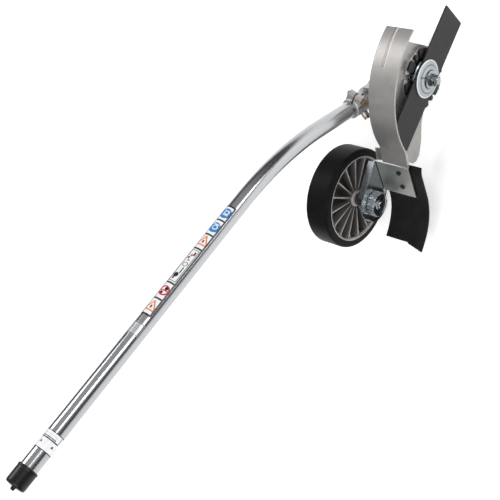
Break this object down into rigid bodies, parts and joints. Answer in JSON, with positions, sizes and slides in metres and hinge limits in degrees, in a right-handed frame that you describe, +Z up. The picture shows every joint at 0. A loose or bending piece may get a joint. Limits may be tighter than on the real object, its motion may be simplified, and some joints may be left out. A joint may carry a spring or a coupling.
{
  "type": "lawn edger attachment",
  "caption": "Curved-shaft lawn edger attachment: flat steel blade on a bevel gear head, arched guard with rubber flaps, guide wheel on a pivoting arm, capped drive tube.",
  "frame": {"origin": "middle of the blade on the blade spindle's axis", "axes": "+X forward, +Y left (the wheel's side), +Z up; the spindle runs along Y and its nut faces -Y"},
  "size_m": [0.6118, 0.1469, 0.6468],
  "materials": {
    "blade_steel": "satin dark",
    "zinc": "bright zinc plate",
    "steel": "machined",
    "cast_alloy": "cast, tumbled",
    "tube_alloy": "polished",
    "guard_paint": "satin grey",
    "black_steel": "black oxide",
    "flap_rubber": "matte",
    "seal_rubber": "matte",
    "tyre_rubber": "satin",
    "wheel_plastic": "satin grey",
    "black_plastic": "matte",
    "cap_vinyl": "soft gloss",
    "liner_plastic": "natural",
    "bronze": "plain bearing",
    "chromate_steel": "yellow chromate",
    "label_film": "printed film"
  },
  "bodies": {
    "head": {"drive_tube": "tube_alloy", "gear_case": "cast_alloy", "gear_cover": "cast_alloy", "cover_screws": "black_steel", "grease_plug": "zinc", "clamp_screw": "chromate_steel", "locating_screw": "chromate_steel", "spindle_bearing_front": "steel", "spindle_bearing_back": "steel", "pinion_bearing_inner": "steel", "pinion_bearing_outer": "steel", "shaft_seal": "seal_rubber", "pinion_snap_ring": "steel", "cable_liner": "liner_plastic", "drive_cable": "steel", "drive_end_bush": "bronze", "warning_label": "label_film", "end_label": "label_film", "rating_label": "label_film", "guard": "guard_paint", "guard_flange": "cast_alloy", "wrap_guard": "black_plastic", "guard_bolts": "black_steel", "rear_plate": "guard_paint", "rear_flap": "flap_rubber", "side_flap": "flap_rubber", "flap_retainer": "steel", "flap_screws": "black_steel", "flap_nuts": "zinc", "pivot_bolt": "zinc", "pivot_nut": "zinc", "pivot_washer": "zinc"},
    "blade_group": {"spindle": "steel", "bevel_gear": "steel", "blade_holder": "zinc", "blade": "blade_steel", "clamp_washer": "zinc", "nut_collar": "zinc", "castle_nut": "zinc", "cotter_pin": "steel"},
    "pinion": {"pinion_shaft": "steel"},
    "drive_coupling": {"drive_end": "steel"},
    "wheel_carrier": {"wheel_arm": "zinc", "axle_bolt": "zinc", "axle_washer": "zinc", "axle_spacer": "zinc"},
    "knob": {"wheel_knob": "zinc"},
    "wheel": {"wheel_hub": "wheel_plastic", "wheel_bush": "bronze", "tyre": "tyre_rubber"},
    "cap": {"end_cap": "cap_vinyl"}
  },
  "joints": [
    {"name": "blade_spin", "type": "hinge", "parent": "head", "child": "blade_group", "pos_m": [0, 0, 0], "axis": [0, -1, 0], "continuous": true},
    {"name": "pinion_spin", "type": "hinge", "parent": "head", "child": "pinion", "pos_m": [0, 0.037, 0], "axis": [-0.4587, 0, 0.8886], "continuous": true},
    {"name": "coupling_spin", "type": "hinge", "parent": "head", "child": "drive_coupling", "pos_m": [-0.49878, 0.037, 0.57739], "axis": [-0.7431, 0, 0.6691], "continuous": true},
    {"name": "wheel_height", "type": "hinge", "parent": "head", "child": "wheel_carrier", "pos_m": [-0.138, 0.025, 0.02], "axis": [0, -1, 0], "range_deg": [-8, 8]},
    {"name": "knob_turn", "type": "hinge", "parent": "wheel_carrier", "child": "knob", "pos_m": [-0.183, 0.018, 0.03], "axis": [0, -1, 0], "continuous": true},
    {"name": "wheel_spin", "type": "hinge", "parent": "wheel_carrier", "child": "wheel", "pos_m": [-0.183, 0.069, 0.03], "axis": [0, -1, 0], "continuous": true},
    {"name": "cap_slide", "type": "slide", "parent": "head", "child": "cap", "axis": [-0.7431, 0, 0.6691], "range_m": [0, 0.15]}
  ],
  "couplings": [
    {"joint": "pinion_spin", "follows": "blade_spin", "ratio": 1.4286},
    {"joint": "coupling_spin", "follows": "blade_spin", "ratio": 1.4286}
  ]
}
